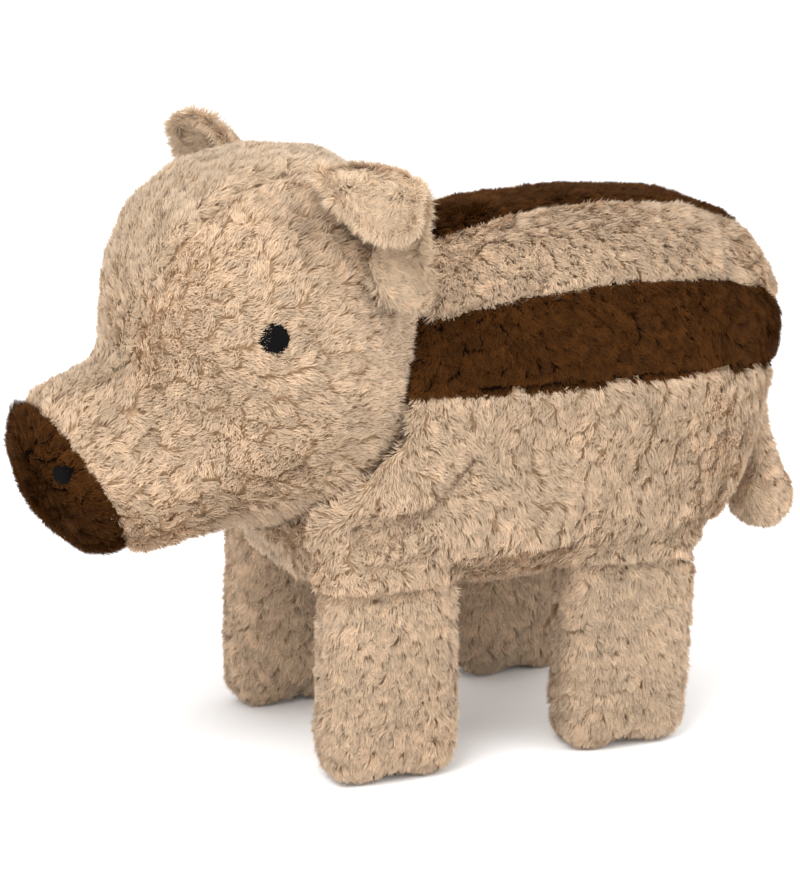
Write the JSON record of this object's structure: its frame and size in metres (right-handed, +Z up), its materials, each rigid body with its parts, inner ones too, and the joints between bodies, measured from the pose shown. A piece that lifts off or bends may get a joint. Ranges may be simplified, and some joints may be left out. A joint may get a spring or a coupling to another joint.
{
  "type": "plush piglet",
  "caption": "Standing plush boar piglet with a striped back, a dark snout patch, folded ears, mitten-shaped legs and a drop-shaped tail, with sewn hips, neck and tail that swing.",
  "frame": {"origin": "on the floor, under the middle of the whole piglet's bounding box", "axes": "+Z up, the snout points along -Y, +X is the piglet's left side"},
  "size_m": [0.2354, 0.4248, 0.3081],
  "materials": {
    "beige_plush": "matte pile",
    "light_beige_plush": "matte pile",
    "dark_brown_plush": "matte pile",
    "black_embroidery": "satin thread",
    "fibre_filling": "matte"
  },
  "bodies": {
    "trunk": {"spine_stripe": "dark_brown_plush", "back_band_left": "beige_plush", "back_band_right": "beige_plush", "flank_stripe_left": "dark_brown_plush", "flank_stripe_right": "dark_brown_plush", "side_panel_left": "beige_plush", "side_panel_right": "beige_plush", "belly_panel": "beige_plush", "body_stuffing": "fibre_filling"},
    "head": {"head_side_left": "beige_plush", "head_side_right": "beige_plush", "forehead_gusset": "light_beige_plush", "snout_patch": "dark_brown_plush", "head_stuffing": "fibre_filling", "eye_left": "black_embroidery", "eye_right": "black_embroidery", "nostril_left": "black_embroidery", "nostril_right": "black_embroidery"},
    "ear_left": {"ear_left_inner": "light_beige_plush", "ear_left_outer": "light_beige_plush"},
    "ear_right": {"ear_right_inner": "light_beige_plush", "ear_right_outer": "light_beige_plush"},
    "tail": {"tail_left": "beige_plush", "tail_right": "beige_plush", "tail_stuffing": "fibre_filling"},
    "leg_front_left": {"leg_front_left_outer": "beige_plush", "leg_front_left_inner": "beige_plush", "leg_front_left_stuffing": "fibre_filling"},
    "leg_front_right": {"leg_front_right_outer": "beige_plush", "leg_front_right_inner": "beige_plush", "leg_front_right_stuffing": "fibre_filling"},
    "leg_rear_left": {"leg_rear_left_outer": "beige_plush", "leg_rear_left_inner": "beige_plush", "leg_rear_left_stuffing": "fibre_filling"},
    "leg_rear_right": {"leg_rear_right_outer": "beige_plush", "leg_rear_right_inner": "beige_plush", "leg_rear_right_stuffing": "fibre_filling"}
  },
  "joints": [
    {"name": "head_nod", "type": "hinge", "parent": "trunk", "child": "head", "pos_m": [-0.00231, -0.07811, 0.215], "axis": [1, 0, 0], "range_deg": [-12, 8], "stiffness_Nm_per_rad": 1.2},
    {"name": "ear_left_fold", "type": "hinge", "parent": "head", "child": "ear_left", "pos_m": [0.06434, -0.05562, 0.25999], "axis": [0.3573, 0.5084, -0.7835], "range_deg": [-20, 22], "stiffness_Nm_per_rad": 0.04},
    {"name": "ear_right_fold", "type": "hinge", "parent": "head", "child": "ear_right", "pos_m": [-0.06753, -0.0639, 0.26517], "axis": [0.4374, -0.5375, 0.7209], "range_deg": [-20, 22], "stiffness_Nm_per_rad": 0.04},
    {"name": "hip_front_left", "type": "hinge", "parent": "trunk", "child": "leg_front_left", "pos_m": [0.06069, -0.04711, 0.1], "axis": [1, 0, 0], "range_deg": [-20, 20], "stiffness_Nm_per_rad": 1},
    {"name": "hip_front_right", "type": "hinge", "parent": "trunk", "child": "leg_front_right", "pos_m": [-0.06531, -0.04711, 0.1], "axis": [1, 0, 0], "range_deg": [-20, 20], "stiffness_Nm_per_rad": 1},
    {"name": "hip_rear_left", "type": "hinge", "parent": "trunk", "child": "leg_rear_left", "pos_m": [0.06069, 0.08089, 0.1], "axis": [1, 0, 0], "range_deg": [-20, 20], "stiffness_Nm_per_rad": 1},
    {"name": "hip_rear_right", "type": "hinge", "parent": "trunk", "child": "leg_rear_right", "pos_m": [-0.06531, 0.08089, 0.1], "axis": [1, 0, 0], "range_deg": [-20, 20], "stiffness_Nm_per_rad": 1},
    {"name": "tail_lift", "type": "hinge", "parent": "trunk", "child": "tail", "pos_m": [-0.00231, 0.1846, 0.15667], "axis": [1, 0, 0], "range_deg": [-8, 80], "stiffness_Nm_per_rad": 0.04}
  ]
}
